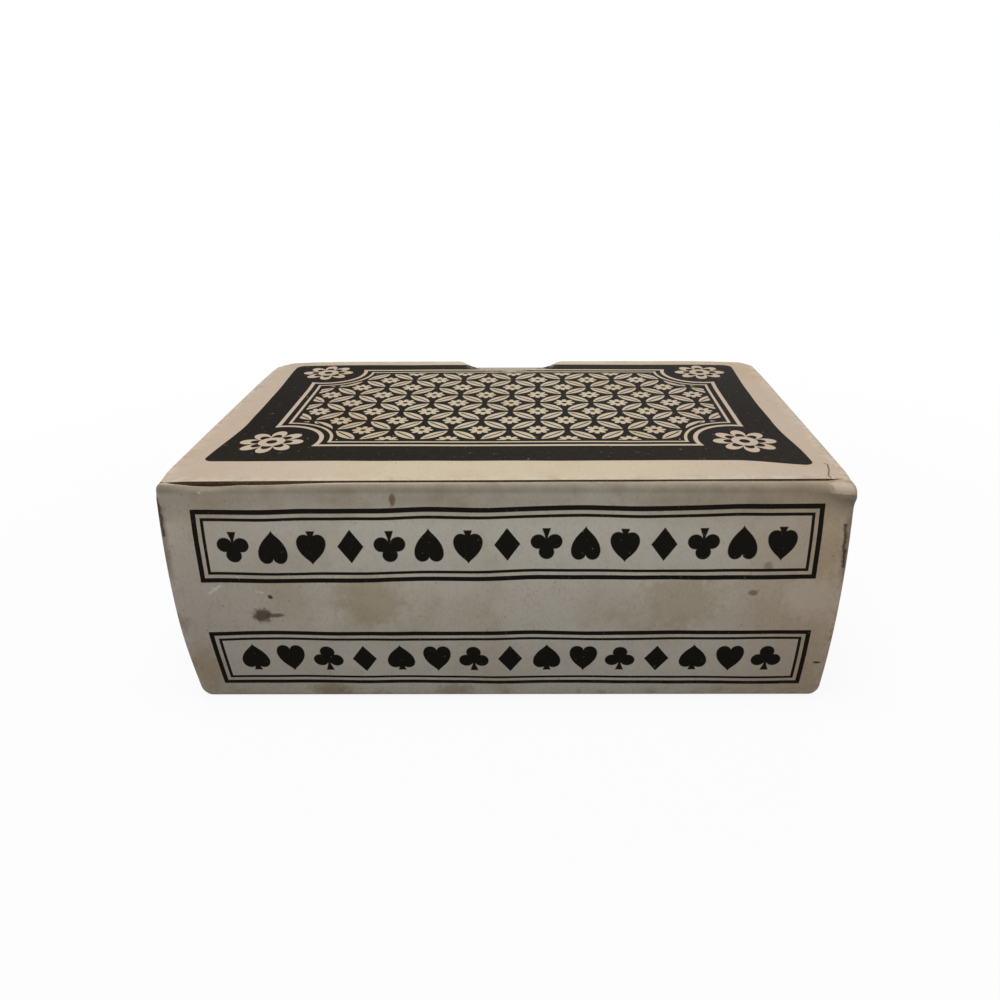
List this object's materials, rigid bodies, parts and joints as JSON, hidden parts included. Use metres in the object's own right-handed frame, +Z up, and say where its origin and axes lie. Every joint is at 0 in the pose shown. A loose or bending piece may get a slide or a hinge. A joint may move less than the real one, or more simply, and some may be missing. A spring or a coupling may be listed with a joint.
{
  "type": "double deck of playing cards in a paperboard case",
  "caption": "Flat paperboard case with a thumb-notched open mouth and a bowed tuck-in lid, holding two stacked decks of bridge-size playing cards.",
  "frame": {"origin": "under the middle of the whole case, at the height of the under panel's lower face, with the lid's bow counted in the depth", "axes": "+X to the right along the long side, +Y from the closing lid to the open mouth, +Z up out of the upper panel"},
  "size_m": [0.091, 0.0612, 0.0341],
  "materials": {
    "case_board": "matte",
    "card_stock": "satin"
  },
  "bodies": {
    "case": {"upper_panel": "case_board", "under_panel": "case_board", "left_side_panel": "case_board", "right_side_panel": "case_board", "glue_flap": "case_board"},
    "lid": {"closing_lid": "case_board"},
    "tuck": {"tuck_flap": "case_board"},
    "left_dust": {"left_dust_flap": "case_board"},
    "right_dust": {"right_dust_flap": "case_board"},
    "upper_deck": {"upper_clubs_ace": "card_stock", "upper_clubs_pips": "card_stock", "upper_clubs_courts": "card_stock", "upper_diamonds_ace": "card_stock", "upper_diamonds_pips": "card_stock", "upper_diamonds_courts": "card_stock", "upper_hearts_ace": "card_stock", "upper_hearts_pips": "card_stock", "upper_hearts_courts": "card_stock", "upper_spades_ace": "card_stock", "upper_spades_pips": "card_stock", "upper_spades_courts": "card_stock", "upper_inner_joker": "card_stock"},
    "lower_deck": {"lower_clubs_ace": "card_stock", "lower_clubs_pips": "card_stock", "lower_clubs_courts": "card_stock", "lower_diamonds_ace": "card_stock", "lower_diamonds_pips": "card_stock", "lower_diamonds_courts": "card_stock", "lower_hearts_ace": "card_stock", "lower_hearts_pips": "card_stock", "lower_hearts_courts": "card_stock", "lower_spades_ace": "card_stock", "lower_spades_pips": "card_stock", "lower_spades_courts": "card_stock", "lower_inner_joker": "card_stock"},
    "upper_outer_card": {"upper_outer_joker": "card_stock"},
    "lower_outer_card": {"lower_outer_joker": "card_stock"}
  },
  "joints": [
    {"name": "lid_hinge", "type": "hinge", "parent": "case", "child": "lid", "pos_m": [0, -0.02885, 0], "axis": [1, 0, 0], "range_deg": [0, 75]},
    {"name": "tuck_fold", "type": "hinge", "parent": "lid", "child": "tuck", "pos_m": [0, -0.0284, 0.03301], "axis": [1, 0, 0], "range_deg": [-46, 0]},
    {"name": "left_dust_fold", "type": "hinge", "parent": "case", "child": "left_dust", "pos_m": [-0.0455, -0.02825, 0], "axis": [0, 0, -1], "range_deg": [0, 57]},
    {"name": "right_dust_fold", "type": "hinge", "parent": "case", "child": "right_dust", "pos_m": [0.0455, -0.02825, 0], "axis": [0, 0, 1], "range_deg": [0, 57]},
    {"name": "upper_deck_slide", "type": "slide", "parent": "case", "child": "upper_deck", "axis": [0, 1, 0], "range_m": [0, 0.045]},
    {"name": "lower_deck_slide", "type": "slide", "parent": "case", "child": "lower_deck", "axis": [0, 1, 0], "range_m": [0, 0.045]},
    {"name": "upper_card_draw", "type": "slide", "parent": "upper_deck", "child": "upper_outer_card", "axis": [0, 1, 0], "range_m": [0, 0.045]},
    {"name": "lower_card_draw", "type": "slide", "parent": "lower_deck", "child": "lower_outer_card", "axis": [0, 1, 0], "range_m": [0, 0.045]}
  ],
  "couplings": [
    {"joint": "tuck_fold", "follows": "lid_hinge", "ratio": -0.6},
    {"joint": "left_dust_fold", "follows": "lid_hinge", "ratio": 0.75},
    {"joint": "right_dust_fold", "follows": "lid_hinge", "ratio": 0.75}
  ]
}
